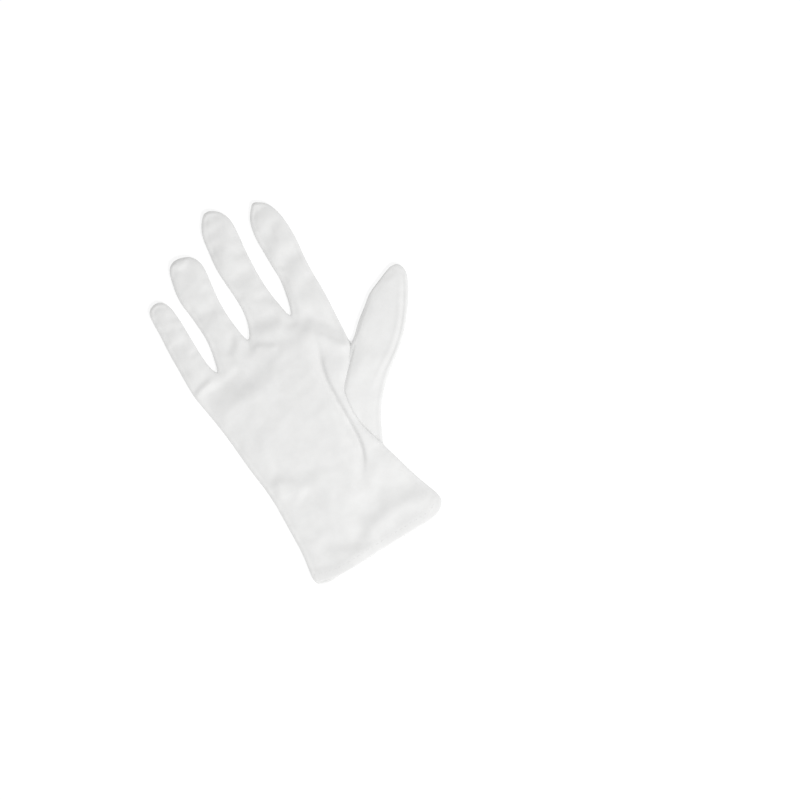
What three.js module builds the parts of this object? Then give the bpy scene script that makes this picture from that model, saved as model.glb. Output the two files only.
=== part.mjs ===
// A cotton dress glove lying flat with its palm up, empty and slightly puffed.
// Three cut pieces of cloth: a palm panel, a back panel and a set-in thumb.
// Units are millimetres. X runs towards the thumb side, Y from the cuff to the fingertips, Z up.
import * as THREE from "three";

// Driving dimensions of the hand
const PALM_LENGTH = 158;
const PALM_WIDTH = 106;
const CUFF_WIDTH = 98;
const WRIST_WIDTH = 80;

// Driving dimensions of the fingers, each length taken from the finger's own root
const LITTLE_LENGTH = 60;
const LITTLE_WIDTH = 17;
const RING_LENGTH = 74;
const RING_WIDTH = 24;
const MIDDLE_LENGTH = 87;
const MIDDLE_WIDTH = 22.7;
const INDEX_LENGTH = 77;
const INDEX_WIDTH = 23;

// Driving dimensions of the thumb, whose length is taken from the middle of its seam
const THUMB_LENGTH = 86;
const THUMB_WIDTH = 28;
const THUMB_ANGLE = 46.8;
const THUMB_SEAM_BOW = 13.5;

// Cloth, seams and hem
const CLOTH = 1;
const SEAM_GAP = 0.3;
const HEM_DEPTH = 5;
const HEM_EXTRA = 0.5;

// Clear height of the hollow inside each part of the glove
const PALM_HOLLOW = 6.5;
const CUFF_HOLLOW = 6.3;
const FINGER_HOLLOW = 6.3;
const THUMB_HOLLOW = 6.2;

// Distance from the sewn edge over which the upper layer climbs to its full height
const PALM_SHOULDER = 10;
const FINGER_SHOULDER = 6.5;
const THUMB_SHOULDER = 9;

// The sewn edge lifts off the surface by EDGE_LIFT and comes down within EDGE_ROLL
const EDGE_LIFT = 0.6;
const EDGE_ROLL = 4;

// Mesh density
const FRONT_COLUMNS = 7;
const BACK_COLUMNS = 4;
const WRIST_ROWS = 11;
const SEAM_ROWS = 16;
const FINGER_ROWS = 14;
const THUMB_ROWS = 14;
const TIP_CROWDING = 1.4;
const EDGE_SAMPLES = 28;

// Cuff line, shares of the cuff width. The back panel shows below the palm panel at the outer corner.
const CUFF_LINE = [
  { across: -0.466, palm: 0.026, back: 0.007 },
  { across: -0.41, palm: 0.01, back: -0.018 },
  { across: -0.361, palm: -0.004, back: -0.033 },
  { across: -0.32, palm: -0.012, back: -0.021 },
  { across: -0.19, palm: -0.016, back: -0.003 },
  { across: 0.006, palm: -0.008, back: 0.007 },
  { across: 0.271, palm: 0.001, back: 0.015 },
  { across: 0.43, palm: 0.007, back: 0.021 },
  { across: 0.5, palm: 0.034, back: 0.045 },
  { across: 0.537, palm: 0.075, back: 0.082 },
];

// Sides of the hand from the cuff to the lower end of the thumb seam, shares of the width named in each row
const LOWER_SIDES = [
  { along: 0.066, width: CUFF_WIDTH, outer: -0.458, thumb: 0.54 },
  { along: 0.142, width: CUFF_WIDTH, outer: -0.441, thumb: 0.495 },
  { along: 0.22, width: WRIST_WIDTH, outer: -0.535, thumb: 0.554 },
  { along: 0.294, width: WRIST_WIDTH, outer: -0.5325, thumb: 0.514 },
  { along: 0.365, width: WRIST_WIDTH, outer: -0.529, thumb: 0.47 },
];

// Outer side of the hand above that, up to the root of the little finger
const UPPER_SIDE = [
  { along: 0.4525, outer: -0.4085 },
  { along: 0.547, outer: -0.428 },
  { along: 0.642, outer: -0.4406 },
  { along: 0.737, outer: -0.4557 },
  { along: 0.832, outer: -0.479 },
  { along: 0.921, outer: -0.502 },
];

// Thumb seam, from its lower end to the thumb crotch: shares of the straight distance and of the bow
const THUMB_SEAM = [
  { along: 0.096, bow: 0.288 },
  { along: 0.195, bow: 0.593 },
  { along: 0.332, bow: 0.865 },
  { along: 0.475, bow: 0.985 },
  { along: 0.606, bow: 1 },
  { along: 0.719, bow: 0.676 },
  { along: 0.852, bow: 0.33 },
];

// Crotches, shares of the palm's width and length
const CROTCHES = {
  ring: { across: -0.302, along: 0.95 },
  middle: { across: -0.0415, along: 1 },
  index: { across: 0.2547, along: 1 },
  thumb: { across: 0.4915, along: 0.791 },
};

// Fingers: axis and root are shares of the palm's width and length.
// Each section row holds shares of the finger's length and, left and right of its axis, of its width.
const FINGERS = [
  {
    length: LITTLE_LENGTH, width: LITTLE_WIDTH, axis: -0.417, root: 0.95,
    sections: [
      { along: 0.107, left: -0.535, right: 0.559 },
      { along: 0.275, left: -0.5235, right: 0.512 },
      { along: 0.476, left: -0.518, right: 0.488 },
      { along: 0.677, left: -0.475, right: 0.482 },
      { along: 0.811, left: -0.472, right: 0.447 },
      { along: 0.878, left: -0.459, right: 0.412 },
      { along: 0.935, left: -0.43, right: 0.335 },
      { along: 0.978, left: -0.32, right: 0.24 },
      { along: 1, left: -0.1, right: 0.08 },
    ],
  },
  {
    length: RING_LENGTH, width: RING_WIDTH, axis: -0.1755, root: 0.975,
    sections: [
      { along: 0.101, left: -0.45, right: 0.54 },
      { along: 0.222, left: -0.385, right: 0.492 },
      { along: 0.33, left: -0.388, right: 0.45 },
      { along: 0.437, left: -0.409, right: 0.438 },
      { along: 0.545, left: -0.45, right: 0.45 },
      { along: 0.653, left: -0.492, right: 0.492 },
      { along: 0.76, left: -0.467, right: 0.537 },
      { along: 0.841, left: -0.413, right: 0.55 },
      { along: 0.922, left: -0.354, right: 0.475 },
      { along: 0.965, left: -0.282, right: 0.36 },
      { along: 0.99, left: -0.18, right: 0.18 },
      { along: 1, left: -0.08, right: 0.05 },
    ],
  },
  {
    length: MIDDLE_LENGTH, width: MIDDLE_WIDTH, axis: 0.116, root: 1,
    sections: [
      { along: 0.04, left: -0.6256, right: 0.612 },
      { along: 0.098, left: -0.542, right: 0.573 },
      { along: 0.19, left: -0.458, right: 0.511 },
      { along: 0.282, left: -0.4405, right: 0.4626 },
      { along: 0.374, left: -0.4626, right: 0.4537 },
      { along: 0.467, left: -0.489, right: 0.4537 },
      { along: 0.559, left: -0.515, right: 0.4714 },
      { along: 0.651, left: -0.502, right: 0.498 },
      { along: 0.743, left: -0.4537, right: 0.542 },
      { along: 0.835, left: -0.4185, right: 0.555 },
      { along: 0.881, left: -0.3656, right: 0.545 },
      { along: 0.927, left: -0.2775, right: 0.4537 },
      { along: 0.973, left: -0.15, right: 0.3216 },
      { along: 1, left: -0.02, right: 0.12 },
    ],
  },
  {
    length: INDEX_LENGTH, width: INDEX_WIDTH, axis: 0.411, root: 1,
    sections: [
      { along: 0.045, left: -0.635, right: 0.452 },
      { along: 0.11, left: -0.587, right: 0.4565 },
      { along: 0.214, left: -0.517, right: 0.448 },
      { along: 0.318, left: -0.452, right: 0.434 },
      { along: 0.422, left: -0.461, right: 0.474 },
      { along: 0.526, left: -0.474, right: 0.51 },
      { along: 0.63, left: -0.478, right: 0.526 },
      { along: 0.734, left: -0.478, right: 0.504 },
      { along: 0.838, left: -0.417, right: 0.4565 },
      { along: 0.89, left: -0.3696, right: 0.391 },
      { along: 0.942, left: -0.248, right: 0.304 },
      { along: 0.981, left: -0.143, right: 0.13 },
      { along: 1, left: -0.065, right: 0.02 },
    ],
  },
];

// Sides of the thumb, shares of its length along its axis and of its width across it
const THUMB_INDEX_SIDE = [
  { along: 0.378, across: 0.598 },
  { along: 0.458, across: 0.598 },
  { along: 0.543, across: 0.579 },
  { along: 0.638, across: 0.527 },
  { along: 0.727, across: 0.5 },
  { along: 0.857, across: 0.334 },
  { along: 0.927, across: 0.236 },
  { along: 0.979, across: 0.143 },
  { along: 1, across: 0.04 },
];
const THUMB_OUTER_SIDE = [
  { along: -0.241, across: -0.511 },
  { along: -0.116, across: -0.396 },
  { along: 0.03, across: -0.351 },
  { along: 0.198, across: -0.38 },
  { along: 0.39, across: -0.482 },
  { along: 0.552, across: -0.496 },
  { along: 0.698, across: -0.45 },
  { along: 0.835, across: -0.375 },
  { along: 0.955, across: -0.246 },
  { along: 0.993, across: -0.13 },
  { along: 1, across: -0.04 },
];

// Folds and dents of the upper layer: path points are shares of the palm's width and length,
// the spread to each side is a share of the palm's width and the height a share of the palm's hollow
const FOLDS = [
  {
    name: "index root valley",
    path: [[0.256, 0.994], [0.336, 0.946], [0.477, 0.807]],
    spread: 0.036, height: -0.27,
  },
  { name: "index root ridge", path: [[0.25, 0.94], [0.32, 0.86]], spread: 0.038, height: 0.12 },
  {
    name: "middle root valley",
    path: [[0.015, 1.035], [0.119, 1.016], [0.213, 1.035]],
    spread: 0.03, height: -0.22,
  },
  { name: "middle root ridge", path: [[0.043, 0.99], [0.213, 0.985]], spread: 0.03, height: 0.14 },
  { name: "middle root crease", path: [[-0.032, 0.99], [0.119, 0.924]], spread: 0.019, height: -0.16 },
  { name: "ring root crease", path: [[-0.192, 0.978], [-0.089, 1.06]], spread: 0.019, height: -0.16 },
  {
    name: "palm dent",
    path: [[-0.447, 0.864], [-0.221, 0.858], [-0.06, 0.896]],
    spread: 0.06, height: -0.28,
  },
  { name: "little root valley", path: [[-0.494, 0.921], [-0.372, 0.953]], spread: 0.022, height: -0.2 },
  { name: "little root ridge", path: [[-0.475, 0.9], [-0.334, 0.919]], spread: 0.024, height: 0.12 },
  {
    name: "thumb crease",
    path: [[0.298, 0.826], [0.251, 0.725], [0.25, 0.547], [0.241, 0.396], [0.204, 0.339], [0.138, 0.288]],
    spread: 0.026, height: -0.27,
  },
  {
    name: "thumb seam valley",
    path: [[0.4915, 0.791], [0.43, 0.734], [0.369, 0.684], [0.313, 0.641]],
    spread: 0.028, height: -0.18,
  },
  {
    name: "cuff valley",
    path: [[-0.051, 0.098], [0.081, 0.117], [0.223, 0.13], [0.364, 0.13], [0.487, 0.06]],
    spread: 0.04, height: -0.23,
  },
  { name: "cuff bulge", path: [[0.27, 0.066], [0.458, 0.028]], spread: 0.045, height: 0.15 },
  { name: "wrist bulge", path: [[0.251, 0.218], [0.383, 0.218]], spread: 0.05, height: 0.12 },
  { name: "cuff side valley", path: [[-0.19, 0.11], [-0.089, 0.066]], spread: 0.03, height: -0.1 },
  {
    name: "heel dent",
    path: [[-0.287, 0.434], [-0.221, 0.402], [-0.155, 0.332]],
    spread: 0.045, height: -0.18,
  },
  { name: "heel bulge", path: [[-0.24, 0.3], [-0.16, 0.24]], spread: 0.05, height: 0.08 },
  { name: "middle finger dent", path: [[0.06, 1.2], [0.175, 1.23]], spread: 0.06, height: -0.12 },
  { name: "index finger dent", path: [[0.41, 1.28], [0.44, 1.13]], spread: 0.05, height: -0.1 },
];

// Distance from the sewn edge over which the folds fade out
const FOLD_FADE = 6;

const { lerp, smoothstep } = THREE.MathUtils;
const point = (x, y) => new THREE.Vector2(x, y);
const onPalm = (across, along) => point(across * PALM_WIDTH, along * PALM_LENGTH);

// A smooth plane curve through hand-placed points, read at a share of its length
function curveThrough(points) {
  const places = points.map((p) => new THREE.Vector3(p.x, p.y, 0));
  const spline = new THREE.CatmullRomCurve3(places, false, "centripetal");
  return (share) => {
    const place = spline.getPointAt(share);
    return point(place.x, place.y);
  };
}

// The share of each mesh row, from 0 to 1
const evenShares = (count) => Array.from({ length: count + 1 }, (_, row) => row / count);
const tipShares = (count) => evenShares(count).map((share) => 1 - (1 - share) ** TIP_CROWDING);

// Curves of the hand's outline
const cuffLine = (layer) => CUFF_LINE.map((row) => point(row.across * CUFF_WIDTH, row[layer] * CUFF_WIDTH));
const lowerSide = (side) => LOWER_SIDES.map((row) => point(row[side] * row.width, row.along * PALM_LENGTH));
const seamLow = lowerSide("thumb").at(-1);
const seamHigh = onPalm(CROTCHES.thumb.across, CROTCHES.thumb.along);
const outerLow = lowerSide("outer").at(-1);
const upperSide = curveThrough([outerLow, ...UPPER_SIDE.map((row) => onPalm(row.outer, row.along))]);
const littleRoot = upperSide(1);

// The thumb seam bows into the palm on the palm side, and is straight on the back
const seamSpan = seamHigh.clone().sub(seamLow);
const seamNormal = point(seamSpan.y, -seamSpan.x).normalize();
function seamPoint(row) {
  const onSpan = seamLow.clone().addScaledVector(seamSpan, row.along);
  return onSpan.addScaledVector(seamNormal, -row.bow * THUMB_SEAM_BOW);
}
const bowedSeam = curveThrough([seamLow, ...THUMB_SEAM.map(seamPoint), seamHigh]);
const straightSeam = (share) => seamLow.clone().lerp(seamHigh, share);

// Curves of the fingers, from their crotches to the two ends of their tips
const ringCrotch = onPalm(CROTCHES.ring.across, CROTCHES.ring.along);
const middleCrotch = onPalm(CROTCHES.middle.across, CROTCHES.middle.along);
const indexCrotch = onPalm(CROTCHES.index.across, CROTCHES.index.along);
const roots = [littleRoot, ringCrotch, middleCrotch, indexCrotch, seamHigh];
const fingers = FINGERS.map((finger, order) => {
  const side = (name) => finger.sections.map((row) => {
    const across = finger.axis * PALM_WIDTH + row[name] * finger.width;
    return point(across, finger.root * PALM_LENGTH + row.along * finger.length);
  });
  return {
    left: curveThrough([roots[order], ...side("left")]),
    right: curveThrough([roots[order + 1], ...side("right")]),
  };
});

// Curves of the thumb, which starts one seam gap away from the hand
const seamShift = seamNormal.clone().multiplyScalar(SEAM_GAP / 0.9);
const thumbLow = seamLow.clone().add(seamShift);
const thumbHigh = seamHigh.clone().add(seamShift);
const thumbRoot = thumbLow.clone().lerp(thumbHigh, 0.5);
const thumbLean = THREE.MathUtils.degToRad(THUMB_ANGLE);
function onThumb(row) {
  const ahead = point(Math.cos(thumbLean), Math.sin(thumbLean)).multiplyScalar(row.along * THUMB_LENGTH);
  const aside = point(-Math.sin(thumbLean), Math.cos(thumbLean)).multiplyScalar(row.across * THUMB_WIDTH);
  return thumbRoot.clone().add(ahead).add(aside);
}
const thumbIndexSide = curveThrough([thumbHigh, ...THUMB_INDEX_SIDE.map(onThumb)]);
const thumbOuterSide = curveThrough([thumbLow, ...THUMB_OUTER_SIDE.map(onThumb)]);

// The sewn outline of the whole glove, from the outer corner of the cuff round to its corner under the thumb
function sewnOutline() {
  const samples = evenShares(EDGE_SAMPLES);
  const lowerOuter = curveThrough([cuffLine("palm")[0], ...lowerSide("outer")]);
  const lowerThumb = curveThrough([cuffLine("palm").at(-1), ...lowerSide("thumb")]);
  const line = [...samples.map(lowerOuter), ...samples.map(upperSide)];
  for (const finger of fingers) {
    line.push(...samples.map(finger.left));
    line.push(...samples.map(finger.right).reverse());
  }
  line.push(...samples.map(thumbIndexSide));
  line.push(...samples.map(thumbOuterSide).reverse());
  line.push(...samples.map(lowerThumb).reverse());
  return line;
}
const outline = sewnOutline();

// Shortest distance from a place to a line of points
function distanceTo(line, place) {
  let best = Infinity;
  for (let i = 1; i < line.length; i += 1) {
    const from = line[i - 1];
    const span = line[i].clone().sub(from);
    const reach = THREE.MathUtils.clamp(place.clone().sub(from).dot(span) / (span.lengthSq() || 1), 0, 1);
    best = Math.min(best, place.distanceTo(from.clone().addScaledVector(span, reach)));
  }
  return best;
}

// Height of the hollow and width of the shoulder at a place, blended between hand, fingers, thumb and cuff
function fullness(place) {
  const along = place.y / PALM_LENGTH;
  const finger = smoothstep(along, 0.9, 1.04);
  const cuff = 1 - smoothstep(along, 0, 0.16);
  const beyond = place.clone().sub(seamHigh).dot(seamNormal) / THUMB_WIDTH;
  const thumb = smoothstep(beyond, 0, 0.7);
  const hand = lerp(lerp(PALM_HOLLOW, FINGER_HOLLOW, finger), CUFF_HOLLOW, cuff);
  return {
    hollow: lerp(hand, THUMB_HOLLOW, thumb),
    shoulder: lerp(lerp(PALM_SHOULDER, FINGER_SHOULDER, finger), THUMB_SHOULDER, thumb),
  };
}

// Folds add up, and fade out towards the sewn edge so that the seam stays closed
const foldPaths = FOLDS.map((fold) => fold.path.map(([across, along]) => onPalm(across, along)));
function foldHeight(place, edge) {
  const fade = Math.min(1, edge / FOLD_FADE);
  return FOLDS.reduce((sum, fold, order) => {
    const away = distanceTo(foldPaths[order], place) / (fold.spread * PALM_WIDTH);
    return sum + fade * fold.height * PALM_HOLLOW * Math.exp(-away * away);
  }, 0);
}

// Undersides and upper sides of the two layers at a place
const seamSeat = EDGE_LIFT + CLOTH + SEAM_GAP;
function backUnder(place) {
  return EDGE_LIFT * (1 - smoothstep(distanceTo(outline, place), 0, EDGE_ROLL));
}
const backTop = (place) => backUnder(place) + CLOTH;
function frontUnder(place) {
  const edge = distanceTo(outline, place);
  const { hollow, shoulder } = fullness(place);
  const climb = Math.sin((Math.PI / 2) * Math.min(1, edge / shoulder));
  return seamSeat + (CLOTH + hollow - seamSeat) * climb + foldHeight(place, edge);
}
function frontTop(place) {
  const { hollow, shoulder } = fullness(place);
  const reach = Math.min(1, distanceTo(outline, place) / shoulder);
  const slope = ((CLOTH + hollow - seamSeat) * Math.PI * Math.cos((Math.PI / 2) * reach)) / (2 * shoulder);
  return frontUnder(place) + CLOTH * Math.hypot(1, slope);
}

// A patch between four curves: the rows run from the lower to the upper curve
function patch(lower, upper, left, right, columns, rows) {
  return rows.map((up) => columns.map((over) => {
    const across = lower(over).multiplyScalar(1 - up).add(upper(over).multiplyScalar(up));
    const along = left(up).multiplyScalar(1 - over).add(right(up).multiplyScalar(over));
    const low = lower(0).multiplyScalar(1 - over).add(lower(1).multiplyScalar(over));
    const high = upper(0).multiplyScalar(1 - over).add(upper(1).multiplyScalar(over));
    return across.add(along).sub(low.multiplyScalar(1 - up)).sub(high.multiplyScalar(up));
  }));
}

// Plan of one layer of the hand and its fingers: places, whether each lies on the hem, and four-sided faces
function layerPlan(layer, seam, columnsPerFinger) {
  const cuff = curveThrough(cuffLine(layer));
  const lowerOuter = curveThrough([cuff(0), ...lowerSide("outer")]);
  const lowerThumb = curveThrough([cuff(1), ...lowerSide("thumb")]);
  const columns = evenShares(columnsPerFinger * fingers.length);
  const hemShare = HEM_DEPTH / (outerLow.y - cuff(0).y);
  const wristRows = [0, ...evenShares(WRIST_ROWS).map((share) => lerp(hemShare, 1, share))];
  const seamRows = evenShares(SEAM_ROWS).slice(1);
  const rowCount = wristRows.length + SEAM_ROWS - 1;
  const side = (low, high) => (up) => {
    const row = Math.round(up * rowCount);
    return row < wristRows.length ? low(wristRows[row]) : high(seamRows[row - wristRows.length]);
  };
  const rootLine = (share) => {
    const order = Math.min(fingers.length - 1, Math.floor(share * fingers.length));
    return roots[order].clone().lerp(roots[order + 1], share * fingers.length - order);
  };
  const outerSide = side(lowerOuter, upperSide);
  const hand = patch(cuff, rootLine, outerSide, side(lowerThumb, seam), columns, evenShares(rowCount));
  const places = hand.flat();
  const hem = places.map((_, index) => index < 2 * columns.length);
  const faces = gridFaces(hand.map((row, up) => row.map((_, over) => up * row.length + over)));
  fingers.forEach((finger, order) => {
    const firstRoot = (hand.length - 1) * columns.length + order * columnsPerFinger;
    const rootRow = evenShares(columnsPerFinger).map((_, over) => firstRoot + over);
    const upperRows = tipShares(FINGER_ROWS).slice(1).map((up) => {
      const from = finger.left(up);
      const to = finger.right(up);
      return evenShares(columnsPerFinger).map((over) => places.push(from.clone().lerp(to, over)) - 1);
    });
    faces.push(...gridFaces([rootRow, ...upperRows]));
  });
  places.forEach((_, index) => { hem[index] ??= false; });
  return { places, hem, faces };
}

// The four-sided faces of a grid of vertex numbers
function gridFaces(grid) {
  return grid.slice(1).flatMap((row, up) => row.slice(1).map((_, over) => (
    [grid[up][over], grid[up][over + 1], row[over + 1], row[over]]
  )));
}

// A solid from vertices and four-sided faces
function solid(name, vertices, faces, material) {
  const geometry = new THREE.BufferGeometry();
  const coordinates = vertices.flatMap((vertex) => [vertex.x, vertex.y, vertex.z]);
  geometry.setAttribute("position", new THREE.Float32BufferAttribute(coordinates, 3));
  geometry.setIndex(faces.flatMap(([a, b, c, d]) => [a, b, c, a, c, d]));
  geometry.computeVertexNormals();
  const mesh = new THREE.Mesh(geometry, material);
  mesh.name = name;
  return mesh;
}

// A sheet of cloth over a plan, between an underside and an upper side, walled along its open edges.
// Along the hem the cloth is thicker, and the front layer's hem lies on top of the back layer's.
function sheet(name, plan, under, top, hemSeat, material) {
  const count = plan.places.length;
  const raise = (height, extra) => plan.places.map((place, index) => (
    new THREE.Vector3(place.x, place.y, height(place) + (plan.hem[index] ? extra : 0))
  ));
  const vertices = [...raise(under, hemSeat), ...raise(top, hemSeat + HEM_EXTRA)];
  const edges = new Map();
  for (const face of plan.faces) {
    face.forEach((from, corner) => edges.set(`${from},${face[(corner + 1) % 4]}`, [from, face[(corner + 1) % 4]]));
  }
  const open = [...edges.values()].filter(([from, to]) => !edges.has(`${to},${from}`));
  const faces = [
    ...plan.faces.map((face) => face.map((corner) => corner + count)),
    ...plan.faces.map((face) => [...face].reverse()),
    ...open.map(([from, to]) => [from, to, to + count, from + count]),
  ];
  return solid(name, vertices, faces, material);
}

// One skin of the thumb as rings of vertices, each ring running over the upper layer and back under the lower one
function thumbRings(inset, upper, lower) {
  const tipEnds = [thumbIndexSide(1), thumbOuterSide(1)];
  const tip = (share) => tipEnds[0].clone().lerp(tipEnds[1], share);
  const rows = tipShares(THUMB_ROWS).map((share) => share * (1 - inset / THUMB_LENGTH));
  const columns = evenShares(SEAM_ROWS).map((share) => lerp(inset / THUMB_WIDTH, 1 - inset / THUMB_WIDTH, share));
  const layer = (seam, height) => {
    const base = (share) => seam(1 - share).add(seamShift);
    const grid = patch(base, tip, thumbIndexSide, thumbOuterSide, columns, rows);
    return grid.map((row) => row.map((place) => new THREE.Vector3(place.x, place.y, height(place))));
  };
  const over = layer(bowedSeam, upper);
  const below = layer(straightSeam, lower);
  return over.map((row, order) => [...row, ...below[order].reverse()]);
}

// The thumb: an outer and an inner skin, closed at the tip and joined round the mouth
function thumb(material) {
  const outer = thumbRings(0, frontTop, backUnder);
  const inner = thumbRings(CLOTH, frontUnder, backTop);
  const ringSize = outer[0].length;
  const vertices = [...outer.flat(), ...inner.flat()];
  const innerStart = outer.length * ringSize;
  const number = (skin, row, step) => skin * innerStart + row * ringSize + (step % ringSize);
  const faces = [];
  for (let step = 0; step < ringSize; step += 1) {
    for (let row = 0; row < THUMB_ROWS; row += 1) {
      const wall = (skin) => [
        number(skin, row, step), number(skin, row + 1, step),
        number(skin, row + 1, step + 1), number(skin, row, step + 1),
      ];
      faces.push(wall(0).reverse(), wall(1));
    }
    faces.push([number(0, 0, step), number(0, 0, step + 1), number(1, 0, step + 1), number(1, 0, step)].reverse());
  }
  for (let step = 0; step < ringSize / 2 - 1; step += 1) {
    const cap = (skin) => [
      number(skin, THUMB_ROWS, step), number(skin, THUMB_ROWS, step + 1),
      number(skin, THUMB_ROWS, ringSize - 2 - step), number(skin, THUMB_ROWS, ringSize - 1 - step),
    ];
    faces.push(cap(0), cap(1).reverse());
  }
  return solid("thumb", vertices, faces, material);
}

const cotton = () => new THREE.MeshStandardMaterial({ color: 0xeeeeec, roughness: 0.95, metalness: 0 });
const glove = new THREE.Group();
const frontPlan = layerPlan("palm", bowedSeam, FRONT_COLUMNS);
const backPlan = layerPlan("back", straightSeam, BACK_COLUMNS);
glove.add(sheet("palm_panel", frontPlan, frontUnder, frontTop, HEM_EXTRA, cotton()));
glove.add(sheet("back_panel", backPlan, backUnder, backTop, 0, cotton()));
glove.add(thumb(cotton()));

// The origin is the middle of the underside of the whole glove
const bounds = new THREE.Box3().setFromObject(glove);
const middle = bounds.getCenter(new THREE.Vector3());
glove.position.set(-middle.x, -middle.y, -bounds.min.z);

export default glove;
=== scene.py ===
"""A white cotton dress glove that lies flat with its palm up: fine cloth, seams, hem and stage."""

import math

import bmesh
import bpy
import numpy as np
from bpy.props import FloatProperty, FloatVectorProperty, PointerProperty
from mathutils import Matrix, Vector, noise
from mathutils.bvhtree import BVHTree
from mathutils.kdtree import KDTree


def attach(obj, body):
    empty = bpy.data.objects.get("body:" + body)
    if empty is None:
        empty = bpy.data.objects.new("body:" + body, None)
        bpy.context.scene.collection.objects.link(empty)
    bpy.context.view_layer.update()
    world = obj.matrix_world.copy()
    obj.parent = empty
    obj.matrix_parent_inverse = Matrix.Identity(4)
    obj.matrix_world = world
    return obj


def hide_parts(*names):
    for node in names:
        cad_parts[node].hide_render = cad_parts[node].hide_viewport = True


bl_info = {
    "name": "Cotton Glove",
    "version": (1, 0, 0),
    "blender": (4, 5, 0),
    "location": "3D View > Sidebar > Glove",
    "description": "Dresses the glove's solids in fine cotton cloth, with seams, stitches and a stage",
    "category": "Object",
}

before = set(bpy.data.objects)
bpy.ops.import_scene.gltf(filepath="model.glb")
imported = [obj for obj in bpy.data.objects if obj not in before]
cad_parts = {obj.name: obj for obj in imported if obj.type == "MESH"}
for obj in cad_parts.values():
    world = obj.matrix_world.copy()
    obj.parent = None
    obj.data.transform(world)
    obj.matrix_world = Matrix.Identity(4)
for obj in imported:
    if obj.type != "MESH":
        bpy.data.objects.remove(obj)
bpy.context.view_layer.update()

# One millimetre in metres, and how far the cuff's lowest corner lies below the frame's origin, in millimetres.
# The folds' lengths and points are millimetres too, and their points count up from that corner.
MM = 0.001
CUFF_FOOT = 124.2

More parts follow.
